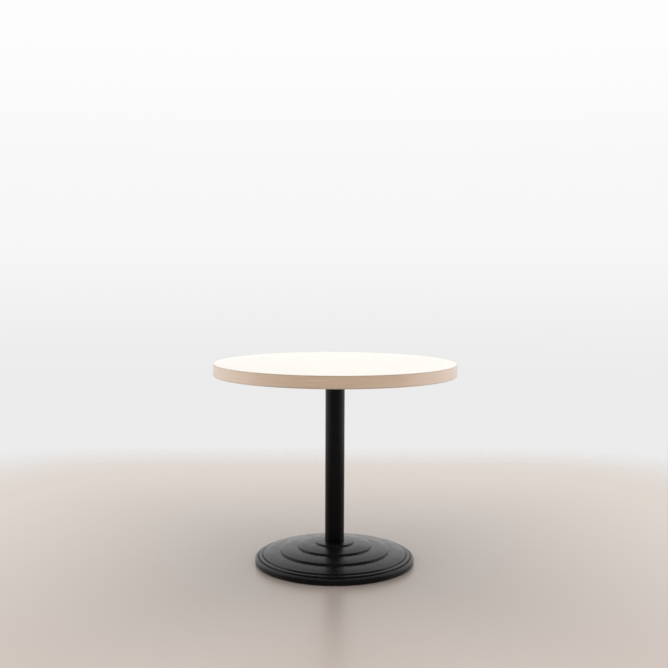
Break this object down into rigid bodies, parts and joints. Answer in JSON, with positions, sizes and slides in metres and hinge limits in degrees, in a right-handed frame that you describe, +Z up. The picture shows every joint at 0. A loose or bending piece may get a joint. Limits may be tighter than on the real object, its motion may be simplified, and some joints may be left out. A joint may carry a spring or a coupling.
{
  "type": "round pedestal table",
  "caption": "Low round table: a laminated disc top with a wood-look edge on a tubular steel column and a stepped round cast base with levelling glides.",
  "frame": {"origin": "on the floor under the column's axis, at the bottom centre of the bounding box", "axes": "+Z up along the column; the table is round, the spider's four arms lie along X and Y, the four glides at 45 degrees to them, and +Y points at the edge band's seam"},
  "size_m": [0.6, 0.5999, 0.5],
  "materials": {
    "cream_laminate": "fine matt high-pressure laminate, cream white",
    "chipboard": "raw particle board",
    "backing_sheet": "matt balancing sheet, off-white",
    "beech_edging": "satin beech-grain edging",
    "black_casting": "satin black powder coat over cast iron",
    "black_tube": "satin black powder coat over smooth steel tube",
    "zinc_plate": "bright zinc plated steel",
    "black_nylon": "moulded black nylon"
  },
  "bodies": {
    "table": {"top_laminate": "cream_laminate", "top_core": "chipboard", "backing_laminate": "backing_sheet", "edge_band": "beech_edging", "top_screws": "zinc_plate", "spider": "black_casting", "top_nut": "zinc_plate", "top_washer": "zinc_plate", "column_tube": "black_tube", "tie_rod": "zinc_plate", "base_casting": "black_casting", "base_washer": "zinc_plate", "base_spring_washer": "zinc_plate", "base_nut": "zinc_plate"},
    "foot_1": {"glide_pad_1": "black_nylon"},
    "foot_2": {"glide_pad_2": "black_nylon"},
    "foot_3": {"glide_pad_3": "black_nylon"},
    "foot_4": {"glide_pad_4": "black_nylon"},
    "screw_1": {"glide_stud_1": "zinc_plate"},
    "screw_2": {"glide_stud_2": "zinc_plate"},
    "screw_3": {"glide_stud_3": "zinc_plate"},
    "screw_4": {"glide_stud_4": "zinc_plate"}
  },
  "joints": [
    {"name": "foot_1_travel", "type": "slide", "parent": "table", "child": "foot_1", "axis": [0, 0, -1], "range_m": [0, 0.006]},
    {"name": "foot_2_travel", "type": "slide", "parent": "table", "child": "foot_2", "axis": [0, 0, -1], "range_m": [0, 0.006]},
    {"name": "foot_3_travel", "type": "slide", "parent": "table", "child": "foot_3", "axis": [0, 0, -1], "range_m": [0, 0.006]},
    {"name": "foot_4_travel", "type": "slide", "parent": "table", "child": "foot_4", "axis": [0, 0, -1], "range_m": [0, 0.006]},
    {"name": "screw_1_turn", "type": "hinge", "parent": "foot_1", "child": "screw_1", "pos_m": [0.11172, 0.11172, 0.01], "axis": [0, 0, -1], "range_deg": [0, 1728]},
    {"name": "screw_2_turn", "type": "hinge", "parent": "foot_2", "child": "screw_2", "pos_m": [-0.11172, 0.11172, 0.01], "axis": [0, 0, -1], "range_deg": [0, 1728]},
    {"name": "screw_3_turn", "type": "hinge", "parent": "foot_3", "child": "screw_3", "pos_m": [-0.11172, -0.11172, 0.01], "axis": [0, 0, -1], "range_deg": [0, 1728]},
    {"name": "screw_4_turn", "type": "hinge", "parent": "foot_4", "child": "screw_4", "pos_m": [0.11172, -0.11172, 0.01], "axis": [0, 0, -1], "range_deg": [0, 1728]}
  ],
  "couplings": [
    {"joint": "foot_1_travel", "follows": "screw_1_turn", "m_per_rad": 0.00019894},
    {"joint": "foot_2_travel", "follows": "screw_2_turn", "m_per_rad": 0.00019894},
    {"joint": "foot_3_travel", "follows": "screw_3_turn", "m_per_rad": 0.00019894},
    {"joint": "foot_4_travel", "follows": "screw_4_turn", "m_per_rad": 0.00019894}
  ]
}
